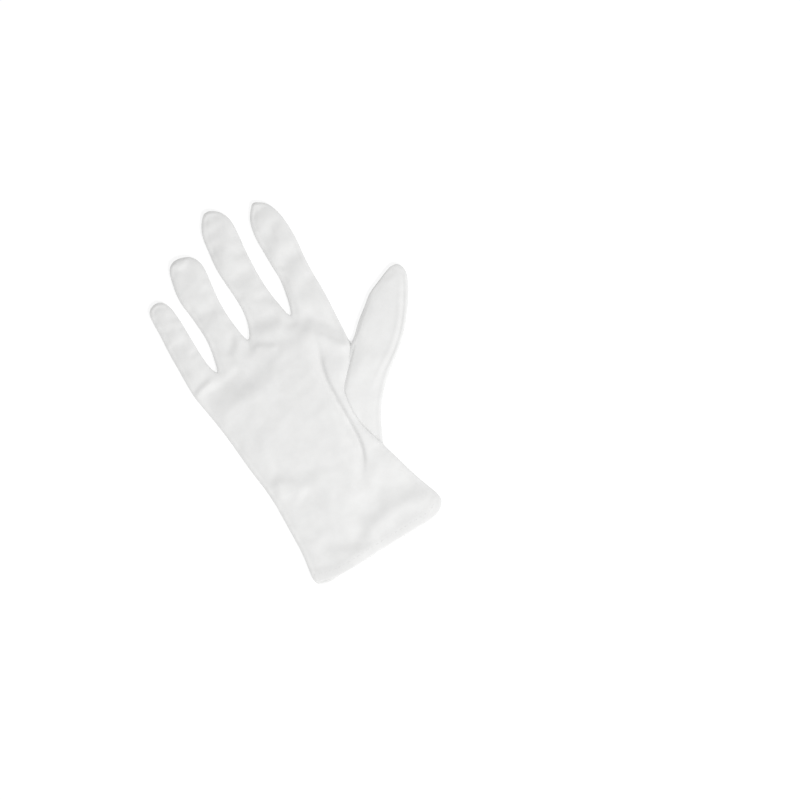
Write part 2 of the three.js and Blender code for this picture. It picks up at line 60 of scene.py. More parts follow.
# Folds of the upper cloth: name, height, spread to the left and to the right of the line, and its points
FOLDS = [
    ("thumb crease", -1.5, 1.4, 3.8,
     [(7, 139), (2.5, 127), (0, 117), (-0.8, 105), (-1, 90), (-1.2, 76), (-2.5, 66), (-6, 57), (-12, 49)]),
    ("thumb crease lip", 0.9, 3.0, 1.7,
     [(10, 141), (6, 128), (3, 117), (2.2, 105), (2, 90), (1.8, 76), (0.5, 66), (-3, 55)]),
    ("index root valley", -1.5, 6.0, 3.2,
     [(5, 162), (11, 156.5), (16.5, 149.5), (21.5, 143), (26, 137), (30, 131)]),
    ("index root ridge low", 0.5, 3.0, 5.0, [(8, 145.5), (13, 138.5), (18, 132), (25, 124.5)]),
    ("index root ridge", 1.0, 3.0, 5.0,
     [(1.5, 154), (6, 148.5), (11, 141.5), (15.5, 135), (20, 129.5), (24, 125)]),
    ("middle root ridge", 0.6, 3.0, 4.0, [(-27, 161), (-18, 161.5), (-10, 160.5), (-4, 162)]),
    ("middle root valley", -0.7, 6.0, 3.2, [(-26, 170.5), (-18, 170), (-10, 168), (-5, 169)]),
    ("middle crease lip", 0.5, 1.4, 3.5, [(-31, 158), (-24, 153.5), (-16, 148.5)]),
    ("middle crease", -0.45, 3.0, 1.4, [(-29.5, 161), (-22, 156.5), (-14, 151.5)]),
    ("ring crease lip", 0.55, 1.4, 4.0, [(-46, 156.5), (-39.5, 162), (-33.5, 169.5)]),
    ("ring crease", -0.5, 3.5, 1.4, [(-48.5, 160), (-42.5, 165.5), (-36.5, 172.5)]),
    ("little root ridge", 0.7, 1.6, 3.0, [(-82, 147.5), (-76, 149), (-69, 151), (-62, 152)]),
    ("little root crease", -0.5, 4.0, 1.6, [(-82, 150.5), (-76, 152.5), (-69, 154.5), (-63, 155.5)]),
    ("palm dent", -0.9, 3.0, 8.0, [(-80, 145.5), (-70, 146), (-58, 146.5), (-48, 148), (-43, 149)]),
    ("palm dent deep", -0.45, 3.5, 6.0, [(-76, 144), (-66, 144.5), (-56, 145.5), (-49, 147)]),
    ("knuckle rise", 0.5, 5.0, 8.0, [(-36, 152), (-24, 155), (-12, 156), (-2, 155)]),
    ("knuckle hollow", -0.45, 6.0, 16.0, [(-40, 132), (-26, 135), (-14, 138), (-4, 140)]),
    ("palm dent floor", 0.5, 7.0, 6.0, [(-66, 131), (-50, 131), (-38, 134)]),
    ("cuff ridge", 1.5, 6.0, 6.0, [(-36, 13), (-27, 16), (-15, 19), (-3, 21.5), (9, 20.5), (18, 15), (25, 7)]),
    ("cuff valley", -1.2, 9.0, 7.5, [(-37, 27), (-27, 30), (-15, 33), (-3, 36), (8, 35), (17, 30), (25, 22)]),
    ("cuff side fill", 0.8, 5.0, 7.0, [(-58, 17), (-46, 13.5), (-38, 10), (-30, 11)]),
    ("heel ridge", 1.4, 4.5, 7.0, [(-66, 73), (-58, 70.5), (-51, 64.5), (-47, 57)]),
    ("heel dent", -0.8, 7.0, 6.0, [(-63, 84), (-54, 80), (-45, 72), (-39, 61)]),
    ("middle finger dent", -0.6, 3.5, 7.0, [(-24, 200.5), (-14, 202), (-4, 202)]),
    ("middle finger tip dent", -0.35, 3.5, 5.0, [(-24, 234), (-11, 235)]),
    ("index finger dent", -0.55, 4.0, 8.0, [(7, 217), (20, 216)]),
    ("index finger root dent", -0.6, 4.0, 7.0, [(12, 198), (28, 196)]),
    ("ring finger dent", -0.5, 4.0, 7.0, [(-55, 192), (-39, 193)]),
    ("little finger dent", -0.4, 4.0, 7.0, [(-80, 182), (-64, 183)]),
    ("thumb crown", 0.55, 2.5, 14.0, [(15.5, 109), (23, 118.5), (31, 128), (41, 137), (51, 144.8), (64, 150)]),
    ("thumb's own seam", -0.25, 1.3, 1.3,
     [(77, 150), (72, 141), (68, 133.5), (60, 122.5), (50, 112.5), (40, 105.5), (30, 98.5), (20, 88)]),
    ("thumb's own seam lip", 0.22, 1.6, 1.3,
     [(74.5, 151), (69.5, 142), (65.5, 135), (58, 124.5), (48, 114.5), (38, 107.5), (28, 100.5), (18, 90)]),
    ("palm sweep", 0.25, 6.0, 6.0, [(-66, 96), (-45, 104), (-22, 112)]),
    ("thumb seam step", -0.7, 1.5, 2.2, [(28, 131), (19.5, 120), (13, 112.5), (6, 103)]),
    ("thumb seam foot", -0.9, 3.0, 1.5, [(4.5, 88), (6, 78), (8.5, 70), (12, 59)]),
]

# How the thumb lies, the height of the seam between the upper and the lower cloth, and how far
# each edge of the thumb seam moves to close it
THUMB_LEAN = math.radians(46.8 - 90)
SEAM_HEIGHT = 1.75 * MM
SEAM_CLOSING = 0.35 * MM

# The place next to the thumb's crotch where narrow faces are evened out, how far round it, and how many
# times before and after the faces are split
CROTCH = (20.5, 119.5)
CROTCH_REACH = 9 * MM
COARSE_ROUNDS = 10
FINE_ROUNDS = 25

# How far each lip moves to close the seam along the outline
LIP_CLOSING = 0.17 * MM

# The most that the back's cloth lifts off the surface: between the spots where it rests, and at the
# hem's stitches
BACK_LIFT = 0.45 * MM
STITCH_LIFT = 0.3 * MM

# The cloth simulation: how much larger the sheet is while it runs, its frames, and the longest move in metres
SOLVER_SCALE = 10
SOLVER_FRAMES = 14
LONGEST_MOVE = 1.2 * MM

# How the sheet's moves are carried to the cloth: from how many of its points, how far each one reaches,
# and the height above the seam over which they set in
CARRY_POINTS = 8
CARRY_REACH = 1.7 * MM
CARRY_START = 0.6 * MM

# A face that looks up less than this is the wall of a cloth's edge, and one that looks up more is its skin
WALL_SLOPE = 0.45

# How softly the distance to the outline turns midway between two edges
MIDWAY_SOFTNESS = 4 * MM

# Distance from stitch to stitch along the outline and along the hem
SEAM_SPACING = 2.4 * MM
HEM_SPACING = 2.9 * MM

# The floor's gap under the glove and its own glow, the light's size and place, and the camera's
FLOOR_GAP = 0.2 * MM
FLOOR_GLOW = 0.75
LIGHT_SIZE = 0.5
LIGHT_PLACE = (0.32, -1.13, 1.34)
CAMERA_PLACE = (0.0348, -0.0438)
CAMERA_TURN = math.radians(-30)

# The upper sheet's places and moves, once they are worked out
SHEET = []


def clamp_step(value):
    """A smooth rise from 0 to 1 as the value goes from 0 to 1."""
    value = np.clip(value, 0, 1)
    return value * value * (3 - 2 * value)


def smooth_line(points, steps=6):
    """A smooth curve in metres through a table's points, as a dense line."""
    rows = np.array([(x * MM, (y - CUFF_FOOT) * MM) for x, y in points])
    ends = np.vstack([2 * rows[0] - rows[1], rows, 2 * rows[-1] - rows[-2]])
    line = []
    for a, b, c, d in zip(ends[:-3], ends[1:-2], ends[2:-1], ends[3:]):
        for step in range(steps):
            t = step / steps
            bend = 2 * a - 5 * b + 4 * c - d
            line.append(0.5 * (2 * b + (c - a) * t + bend * t**2 + (3 * b - a - 3 * c + d) * t**3))
    line.append(rows[-1])
    return np.array(line)


def beside(plan, starts, ends):
    """For every place in plan: its distance to the nearest of the spans, the side it lies on,
    that span's number and the share of the span."""
    best = np.full(len(plan), np.inf)
    side = np.zeros(len(plan))
    number = np.zeros(len(plan), dtype=int)
    share = np.zeros(len(plan))
    for order, (start, end) in enumerate(zip(starts, ends)):
        span = end - start
        reach = plan - start
        along = np.clip(reach @ span / max(span @ span, 1e-14), 0, 1)
        away = np.hypot(*(reach - along[:, None] * span).T)
        nearer = away < best
        best[nearer] = away[nearer]
        number[nearer] = order
        share[nearer] = along[nearer]
        side[nearer] = np.sign(span[0] * reach[nearer, 1] - span[1] * reach[nearer, 0])
    return best, side, number, share


def merged_copy(node):
    """A copy of a CAD node's mesh, merged and joined back into four-sided faces."""
    shape = bmesh.new()
    shape.from_mesh(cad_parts[node].data)
    bmesh.ops.remove_doubles(shape, verts=shape.verts, dist=0.01 * MM)
    bmesh.ops.join_triangles(
        shape, faces=shape.faces, angle_face_threshold=math.radians(50),
        angle_shape_threshold=math.radians(60), topology_influence=1.0,
    )
    shape.normal_update()
    return shape


def rim_spans(node):
    """The spans, in plan, of the edges where a solid's upper skin meets its wall: start, end and outward.
    An edge with more of the same upper skin beyond it isn't on the rim."""
    shape = merged_copy(node)
    solid = BVHTree.FromBMesh(shape)
    spans = []
    for edge in shape.edges:
        wall, skin = sorted(edge.link_faces, key=lambda face: face.normal.z)
        outside = min(vert.co.z for vert in edge.verts) > SEAM_HEIGHT
        if outside and abs(wall.normal.z) < WALL_SLOPE < skin.normal.z:
            start, end = (vert.co.xy for vert in edge.verts)
            outward = wall.normal.xy.normalized()
            beyond = ((start + end) / 2 + outward * 0.5 * MM).to_3d()
            beyond.z = 30 * MM
            hit = solid.ray_cast(beyond, (0, 0, -1))[0]
            if hit is None or hit.z < SEAM_HEIGHT:
                spans.append((start, end, outward))
    shape.free()
    return np.array(spans)


def sorted_rims():
    """The rims of the palm and of the thumb as spans: the sewn outline, the cuff, and each side of the
    thumb seam."""
    found = {"outline": [], "cuff": []}
    rims = {node: rim_spans(node) for node in ("palm_panel", "thumb")}
    for node, other in (("palm_panel", "thumb"), ("thumb", "palm_panel")):
        spans = rims[node]
        middles = (spans[:, 0] + spans[:, 1]) / 2
        joined = beside(middles, rims[other][:, 0], rims[other][:, 1])[0] < 1.2 * MM
        open_end = (spans[:, 2, 1] < -0.7) & (middles[:, 1] < -110 * MM)
        found["cuff"].append(spans[open_end])
        found[node] = [spans[joined & ~open_end]]
        found["outline"].append(spans[~joined & ~open_end])
    return {name: np.concatenate(parts) for name, parts in found.items()}


def distance(plan, spans):
    """Distance of every place in plan to the nearest span."""
    return beside(plan, spans[:, 0], spans[:, 1])[0]


def keep_seam_line(shape, spans):
    """Creases the rim edges along the thumb seam and pins the line's two ends, so that it stays in place."""
    on_line = distance(np.array([vert.co.xy[:] for vert in shape.verts]), spans) < 0.05 * MM
    shape.verts.ensure_lookup_table()
    crease = shape.edges.layers.float.new("crease_edge")
    pin = shape.verts.layers.float.new("crease_vert")
    for edge in shape.edges:
        start, end = edge.verts
        level = (start.co.xy - end.co.xy).length > 0.1 * MM
        walled = any(abs(face.normal.z) < WALL_SLOPE for face in edge.link_faces)
        if level and walled and on_line[start.index] and on_line[end.index]:
            edge[crease] = 1.0
    for vert in shape.verts:
        if sum(edge[crease] for edge in vert.link_edges) == 1:
            vert[pin] = 1.0


def evened_crotch(shape, spans, rounds):
    """Evens out the narrow faces next to the thumb's crotch, with the seam line kept where it is."""
    off_line = distance(np.array([vert.co.xy[:] for vert in shape.verts]), spans) > 0.25 * MM
    middle = Vector((CROTCH[0] * MM, (CROTCH[1] - CUFF_FOOT) * MM))
    loose = [vert for vert, free in zip(shape.verts, off_line)
             if free and vert.co.z > SEAM_HEIGHT and (vert.co.xy - middle).length < CROTCH_REACH]
    for _ in range(rounds):
        bmesh.ops.smooth_vert(
            shape, verts=loose, factor=0.5, use_axis_x=True, use_axis_y=True, use_axis_z=True,
        )


def fine_cloth(node, name, levels, seam=None):
    """The node's shape as a new piece, with each face split smoothly so many times."""
    shape = merged_copy(node)
    if seam is None:
        return split_smoothly(shape, name, levels)
    keep_seam_line(shape, seam)
    evened_crotch(shape, seam, COARSE_ROUNDS)
    piece = split_smoothly(shape, name, levels)
    fine = bmesh.new()
    fine.from_mesh(piece.data)
    evened_crotch(fine, seam, FINE_ROUNDS)
    fine.to_mesh(piece.data)
    fine.free()
    return piece


def split_smoothly(shape, name, levels):
    """A new piece from a bmesh, with each face split smoothly so many times."""
    mesh = bpy.data.meshes.new(name)
    shape.to_mesh(mesh)
    shape.free()
    piece = bpy.data.objects.new(name, mesh)
    bpy.context.scene.collection.objects.link(piece)
    smooth = piece.modifiers.new("Smooth", "SUBSURF")
    smooth.levels = smooth.render_levels = levels
    ready = piece.evaluated_get(bpy.context.evaluated_depsgraph_get())
    fine = bpy.data.meshes.new_from_object(ready)
    piece.modifiers.clear()
    piece.data = fine
    bpy.data.meshes.remove(mesh)
    fine.name = name
    fine.materials.clear()
    fine.shade_smooth()
    return piece


def places_of(mesh):
    """The mesh's vertices as rows of x, y and z."""
    flat = np.empty(len(mesh.vertices) * 3)
    mesh.vertices.foreach_get("co", flat)
    return flat.reshape(-1, 3)


def set_places(mesh, places):
    """Puts the mesh's vertices at new places."""
    mesh.vertices.foreach_set("co", places.ravel())
    mesh.update()


def widened(places, spans, amount, reach):
    """The places moved outward next to the spans, so that two sewn edges close on each other."""
    away, _, number, _ = beside(places[:, :2], spans[:, 0], spans[:, 1])
    push = amount * (1 - clamp_step(away / reach))
    places[:, :2] += push[:, None] * spans[number, 2]
    return places


def top_of_thumb(places):
    """Height of the thumb's solid over each place, or the place's own height where the thumb isn't."""
    tops = places[:, 2].copy()
    for order, (x, y, z) in enumerate(places):
        if z > SEAM_HEIGHT:
            hit = THUMB_SOLID.ray_cast((x, y, 30 * MM), (0, 0, -1))[0]
            tops[order] = z if hit is None else max(z, hit.z)
    return tops


def settled(places):
    """The upper cloth of the palm and thumb as it lies: flat and thin at its sewn edge, fuller in the palm."""
    sizes = bpy.context.scene.glove_cloth
    plan = places[:, :2]
    edge = distance(plan, RIMS["outline"])
    inside, facing = soft_edge(plan, RIMS["outline"], MIDWAY_SOFTNESS)
    in_thumb = clamp_step((plan[:, 0] - 14 * MM) / (34 * MM))
    ridge_share = 1 - 0.75 * in_thumb * clamp_step(facing / 0.5)
    low = sizes.edge_rise + (sizes.tip_rise - sizes.edge_rise) * clamp_step((facing - 0.6) / 0.3)
    keep = low + (sizes.palm_rise - low) * clamp_step(inside / sizes.rise_width)
    rise = places[:, 2] - SEAM_HEIGHT
    top = np.maximum(top_of_thumb(places) - SEAM_HEIGHT, 0.01 * MM)
    flat_top = sizes.thumb_height * (1 - np.exp(-top / sizes.thumb_height))
    in_palm = rise * keep
    on_thumb = rise + (flat_top - top) * np.clip(rise / top, 0, 1)
    laid = in_palm + (on_thumb - in_palm) * in_thumb
    upper = rise > 0
    places[upper, 2] = SEAM_HEIGHT + laid[upper]
    over = clamp_step((places[:, 2] - SEAM_HEIGHT) / (1 * MM))
    lift = fold_relief(plan, sizes.crease) + sizes.unevenness * uneven(plan)
    joint = distance(plan, np.concatenate([RIMS["palm_panel"], RIMS["thumb"]]))
    hem = hem_relief(distance(plan, RIMS["cuff"]), plan, sizes)
    seams = ridge_share * seam_relief(plan, edge, joint, sizes)
    places[:, 2] += over * (clamp_step(edge / sizes.fade) * lift + seams + hem)
    return places


def upper_sheet():
    """The outer upper skin of the palm and thumb as one thin sheet, laid as they lie."""
    joined = bmesh.new()
    for node in ("palm_panel", "thumb"):
        skin = merged_copy(node)
        spare = [face for face in skin.faces
                 if face.normal.z < WALL_SLOPE or face.calc_center_median().z < SEAM_HEIGHT]
        bmesh.ops.delete(skin, geom=spare, context="FACES")
        mesh = bpy.data.meshes.new("skin")
        skin.to_mesh(mesh)
        skin.free()
        joined.from_mesh(mesh)
        bpy.data.meshes.remove(mesh)
    piece = split_smoothly(joined, "sheet", 1)
    places = settled(places_of(piece.data))
    set_places(piece.data, places)
    return piece, places


def creased_by_itself():
    """Where the upper cloth goes when it is a little too large for its sewn edges: places and moves.
    The sheet is simulated much larger than it is, because the cloth solver suits larger things."""
    sizes = bpy.context.scene.glove_cloth
    piece, places = upper_sheet()
    set_places(piece.data, places * SOLVER_SCALE)
    seams = np.concatenate([RIMS[name] for name in ("outline", "palm_panel", "thumb")])
    sewn = distance(places[:, :2], seams)
    hemmed = distance(places[:, :2], RIMS["cuff"])
    held = piece.vertex_groups.new(name="held")
    for order, (edge, hem) in enumerate(zip(sewn, hemmed)):
        weight = 1.0 if edge < 0.5 * MM else 0.6 if hem < 4 * MM else sizes.hold
        held.add([order], weight, "REPLACE")
    cloth = piece.modifiers.new("Cloth", "CLOTH")
    values = {
        "quality": 6, "mass": 0.1, "tension_stiffness": 20, "compression_stiffness": 20,
        "shear_stiffness": 10, "bending_stiffness": sizes.stiffness, "vertex_group_mass": "held",
        "pin_stiffness": 1.0, "shrink_min": -sizes.surplus,
    }
    for name, value in values.items():
        setattr(cloth.settings, name, value)
    cloth.settings.effector_weights.gravity = 0
    cloth.collision_settings.use_collision = False
    cloth.point_cache.frame_end = SOLVER_FRAMES
    for moment in range(1, SOLVER_FRAMES + 1):
        bpy.context.scene.frame_set(moment)
    ready = piece.evaluated_get(bpy.context.evaluated_depsgraph_get())
    mesh = bpy.data.meshes.new_from_object(ready)
    moves = places_of(mesh) / SOLVER_SCALE - places
    bpy.context.scene.frame_set(1)
    bpy.data.meshes.remove(mesh)
    bpy.data.objects.remove(piece)
    longest = np.linalg.norm(moves, axis=1)
    moves *= np.minimum(1, LONGEST_MOVE / np.maximum(longest, 1e-9))[:, None]
    return places, moves


def carried_along(places, sheet, moves, sizes):
    """The places of a cloth's upper layer moved with the sheet that lies nearest to them."""
    tree = KDTree(len(sheet))
    shares = sizes.palm_creasing + (sizes.finger_creasing - sizes.palm_creasing) * in_fingers(places[:, :2])
    for order, (x, y, _) in enumerate(sheet):
        tree.insert((x, y, 0), order)
    tree.balance()
    for order, (x, y, z) in enumerate(places.copy()):
        over = min(1, max(0, (z - SEAM_HEIGHT) / CARRY_START))
        if over:
            found = tree.find_n((x, y, 0), CARRY_POINTS)
            weights = np.array([math.exp(-((away / CARRY_REACH) ** 2)) for _, _, away in found])
            mean = (weights[:, None] * moves[[number for _, number, _ in found]]).sum(axis=0)
            places[order] += shares[order] * over * mean / max(weights.sum(), 1e-9)
    return places


def fold_relief(plan, depth):
    """Height that the folds and creases add at each place in plan."""
    relief = np.zeros(len(plan))
    for _, height, left, right, points in FOLDS:
        line = smooth_line(points)
        away, side, number, share = beside(plan, line[:-1], line[1:])
        spread = np.where(side > 0, left, right) * MM
        along = (number + share) / (len(line) - 1)
        ends = clamp_step(np.minimum(along, 1 - along) / 0.25)
        relief += depth * height * MM * (0.1 + 0.9 * ends) * np.exp(-((away / spread) ** 2))
    return relief


def in_fingers(plan):
    """1 in the fingers and 0 in the palm, with a soft change at the fingers' roots."""
    return clamp_step((plan[:, 1] - 30 * MM) / (20 * MM))


def uneven(plan):
    """Soft uneven lie of the cloth, between about -1 and 1, and livelier in the fingers."""
    rough = np.empty(len(plan))
    for order, (x, y) in enumerate(plan):
        spot = Vector((x, y, 0.1))
        rough[order] = noise.noise(spot * 60) + 0.4 * noise.noise(spot * 140 + Vector((3, 1, 0)))
    return rough * (1 + 0.6 * in_fingers(plan))


def seam_relief(plan, edge, joint, sizes):
    """The seam allowance under the cloth, a low uneven ridge next to each sewn edge, and the groove of the
    thumb seam."""
    lumps = np.array([noise.noise(Vector((x, y, 0.4)) * 330) for x, y in plan])
    ridge = np.exp(-(((edge - 1.7 * MM) / (0.9 * MM)) ** 2))
    step = np.exp(-(((edge - 3.4 * MM) / (0.9 * MM)) ** 2))
    groove = np.exp(-((joint / (1.1 * MM)) ** 2))
    return sizes.seam_ridge * (ridge * (0.9 + 1.1 * lumps) - 0.45 * step) - sizes.groove * groove


def closed_lips(places, above):
    """The places of the cloth above or below the outline's seam, with its lip moved onto the other one."""
    edge = distance(places[:, :2], RIMS["outline"])
    off_seam = above * (places[:, 2] - SEAM_HEIGHT) - 0.15 * MM
    share = (1 - clamp_step(off_seam / (0.8 * MM))) * (1 - clamp_step((edge - 1.5 * MM) / (1 * MM)))
    places[:, 2] -= above * LIP_CLOSING * share
    return places


def rested(places):
    """The back's cloth, with its lower layer lifted here and there, and by the hem's stitches, off the surface
    that it lies on."""
    plan = places[:, :2]
    low = 1 - clamp_step((places[:, 2] - 1.3 * MM) / (0.4 * MM))
    hemmed = distance(plan, RIMS["cuff"]) - bpy.context.scene.glove_cloth.hem
    drawn = STITCH_LIFT * np.exp(-((hemmed / (1.8 * MM)) ** 2))
    places[:, 2] += low * np.maximum(BACK_LIFT * uneven(plan), drawn)
    return places


def hem_relief(hemmed, plan, sizes):
    """The turned-in hem under the cloth: a low step at its end and a row of dimples at its stitches."""
    lumps = np.array([noise.noise(Vector((x, y, 0.7)) * 260) for x, y in plan])
    step = 1 - clamp_step((hemmed - 6.5 * MM) / (2 * MM))
    dimple = np.exp(-(((hemmed - sizes.hem) / (0.9 * MM)) ** 2))
    return sizes.seam_ridge * (step * (1 + 0.5 * lumps) - dimple * (0.25 + 0.15 * lumps))


def soft_edge(plan, spans, softness):
    """Distance to the spans that stays smooth midway between two of them, and how far they face the tips."""
    middles = (spans[:, 0] + spans[:, 1]) / 2
    weights = np.hypot(*(spans[:, 1] - spans[:, 0]).T) / softness
    total = np.full(len(plan), 1e-12)
    facing = np.zeros(len(plan))
    for middle, weight, outward in zip(middles, weights, spans[:, 2]):
        near = weight * np.exp(-np.hypot(*(plan - middle).T) / softness)
        total += near
        facing += near * outward[1]
    return np.maximum(0, -softness * np.log(total)), facing / total


def laid_cloth(node, name):
    """The palm's or the thumb's fine cloth, laid, creased by its own surplus and closed along their seam."""
    piece = fine_cloth(node, name, 2, RIMS[node])
    places = settled(places_of(piece.data))
    if not SHEET:
        SHEET.extend(creased_by_itself())
    places = carried_along(places, *SHEET, bpy.context.scene.glove_cloth)
    set_places(piece.data, widened(places, RIMS[node], SEAM_CLOSING, 1.5 * MM))
    return piece


def along_spans(spans, spacing):
    """Evenly spaced places along the spans, each with its direction and its outward side.
    A span is passed over where its middle lies closer than 0.75 of the spacing to one of the last four places."""
    found = []
    for start, end, outward in spans:
        span = Vector(end - start)
        middle = Vector(start).lerp(Vector(end), 0.5)
        if any((middle - place).length < 0.75 * spacing for place, _, _ in found[-4:]):
            continue
        count = max(1, round(span.length / spacing))
        for step in range(count):
            found.append((Vector(start) + span * (step + 0.5) / count, span.normalized(), Vector(outward)))
    return found


def add_stitch(shape, start, end, width):
    """A short thread from start to end, slightly thicker in its middle."""
    along = end - start
    turn = along.to_track_quat("Z", "X").to_matrix().to_4x4()
    size = Matrix.Diagonal((width / 2, width / 2, along.length / 2, 1))
    place = Matrix.Translation((start + end) / 2) @ turn @ size
    bmesh.ops.create_icosphere(shape, subdivisions=1, radius=1, matrix=place)


def thread_piece(shape, name):
    """The stitches of a bmesh as a finished piece of cotton thread."""
    mesh = bpy.data.meshes.new(name)
    shape.to_mesh(mesh)
    shape.free()
    mesh.shade_smooth()
    piece = bpy.data.objects.new(name, mesh)
    bpy.context.scene.collection.objects.link(piece)
    mesh.materials.append(cotton_thread(name + " cotton"))
    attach(piece, "root")
    return piece


def surface_of(name):
    """A tree of a finished cloth's faces, to set stitches on."""
    mesh = bpy.data.objects[name].data
    corners = [vert.co for vert in mesh.vertices]
    return BVHTree.FromPolygons(corners, [face.vertices for face in mesh.polygons])


class Value:
    """A shader value that plain Python expressions can be written with."""

    def __init__(self, finish, socket):
        self.finish = finish
        self.socket = socket

    def worked(self, operation, *others):
        """A Math node of this value and the others."""
        values = dict(enumerate((self, *others)))
        return self.finish.node("ShaderNodeMath", {"operation": operation}, values)

    def __add__(self, other):
        return self.worked("ADD", other)

    def __sub__(self, other):
        return self.worked("SUBTRACT", other)

    def __rsub__(self, other):
        return (self * -1.0) + other

    def __mul__(self, other):
        return self.worked("MULTIPLY", other)

    def __truediv__(self, other):
        return self.worked("DIVIDE", other)

    __radd__ = __add__
    __rmul__ = __mul__


class Finish:
    """A material whose nodes are made one by one, their settings first and their sockets next."""

    def __init__(self, name):
        self.material = bpy.data.materials.new(name)
        self.material.use_nodes = True
        self.tree = self.material.node_tree
        self.tree.nodes.clear()

    def node(self, kind, settings=None, sockets=None, output=0):
        """A new node, and the value that comes out of it."""
        made = self.tree.nodes.new(kind)
        for setting, value in (settings or {}).items():
            setattr(made, setting, value)
        for socket, value in (sockets or {}).items():
            if isinstance(value, Value):
                self.tree.links.new(value.socket, made.inputs[socket])
            else:
                made.inputs[socket].default_value = value
        return Value(self, made.outputs[output]) if made.outputs else None


def cotton_knit(name, turn):
    """White cotton knit: fine ribs of small V loops that run along the piece, soft and matt. Its colour has
    painted shade, darker between the loops, and a random change of tone.
    """
    look = bpy.context.scene.glove_look
    finish = Finish(name)
    place = finish.node("ShaderNodeTexCoord", output=3)
    wander = finish.node("ShaderNodeTexNoise", None, {"Vector": place, "Scale": 90.0, "Detail": 1.0}, 1)
    wandering = finish.node(
        "ShaderNodeVectorMath", {"operation": "MULTIPLY_ADD"},
        {0: wander, 1: (0.0006, 0.0006, 0.0), 2: place},
    )
    laid = finish.node("ShaderNodeMapping", None, {"Vector": wandering, "Rotation": (0, 0, -turn)})
    across = finish.node("ShaderNodeSeparateXYZ", None, {"Vector": laid})
    along = finish.node("ShaderNodeSeparateXYZ", None, {"Vector": laid}, 1)
    wale = (across / look.wale).worked("FRACT")
    slant = (wale - 0.5).worked("ABSOLUTE")
    rib = 1.0 - slant * 2.0
    loop = ((along / look.course + slant * 0.9) * (2 * math.pi)).worked("SINE")
    yarn = rib.worked("POWER", 0.6) * (loop * 0.35 + 0.65)
    fuzz = finish.node("ShaderNodeTexNoise", None, {"Vector": place, "Scale": 2200.0, "Detail": 2.0})
    tint = finish.node("ShaderNodeTexNoise", None, {"Vector": place, "Scale": 45.0, "Detail": 3.0})
    mottle = finish.node("ShaderNodeTexNoise", None, {"Vector": place, "Scale": 170.0, "Detail": 2.0})
    # The colour is painted shade where the yarn is low between the loops, mixed with random tone from the tint,
    # mottle and fuzz
    colour = finish.node(
        "ShaderNodeMix", {"data_type": "RGBA"},
        {
            0: yarn * 0.3 + tint * 0.5 + mottle * 0.9 + fuzz * 0.2 - 0.45,
            6: (*look.painted_shade_and_tone, 1), 7: (*look.cotton, 1),
        }, 2,
    )
    bump = finish.node(
        "ShaderNodeBump", None, {"Height": yarn + fuzz * 0.5, "Strength": 0.35, "Distance": 0.12 * MM},
    )
    cloth = finish.node("ShaderNodeBsdfPrincipled", None, {
        "Base Color": colour, "Roughness": 0.95 - fuzz * 0.08, "Normal": bump,
        "Sheen Weight": 0.1, "Sheen Roughness": 0.5, "Specular IOR Level": 0.2,
    })
    finish.node("ShaderNodeOutputMaterial", None, {"Surface": cloth})
    return finish.material


def cotton_thread(name):
    """White cotton sewing thread: two twisted yarns, a little smoother than the knit. Its colour has painted
    shade in the twist's grooves and a random change of tone.
    """
    look = bpy.context.scene.glove_look
    finish = Finish(name)
    place = finish.node("ShaderNodeTexCoord", output=3)
    twist = finish.node("ShaderNodeTexWave", None, {"Vector": place, "Scale": 1500.0, "Distortion": 2.0}, 1)
    fuzz = finish.node("ShaderNodeTexNoise", None, {"Vector": place, "Scale": 4000.0, "Detail": 2.0})
    # The colour is painted shade in the grooves of the twist, mixed with random tone from the fuzz
    colour = finish.node(
        "ShaderNodeMix", {"data_type": "RGBA"},
        {0: twist * 0.6 + fuzz * 0.4, 6: (*look.painted_shade_and_tone, 1), 7: (*look.cotton, 1)}, 2,
    )
    bump = finish.node("ShaderNodeBump", None, {"Height": twist, "Strength": 0.3, "Distance": 0.05 * MM})
    thread = finish.node("ShaderNodeBsdfPrincipled", None, {
        "Base Color": colour, "Roughness": 0.75 - fuzz * 0.1, "Normal": bump, "Specular IOR Level": 0.3,
    })
    finish.node("ShaderNodeOutputMaterial", None, {"Surface": thread})
    return finish.material


RIMS = sorted_rims()
THUMB_SOLID = BVHTree.FromBMesh(merged_copy("thumb"))


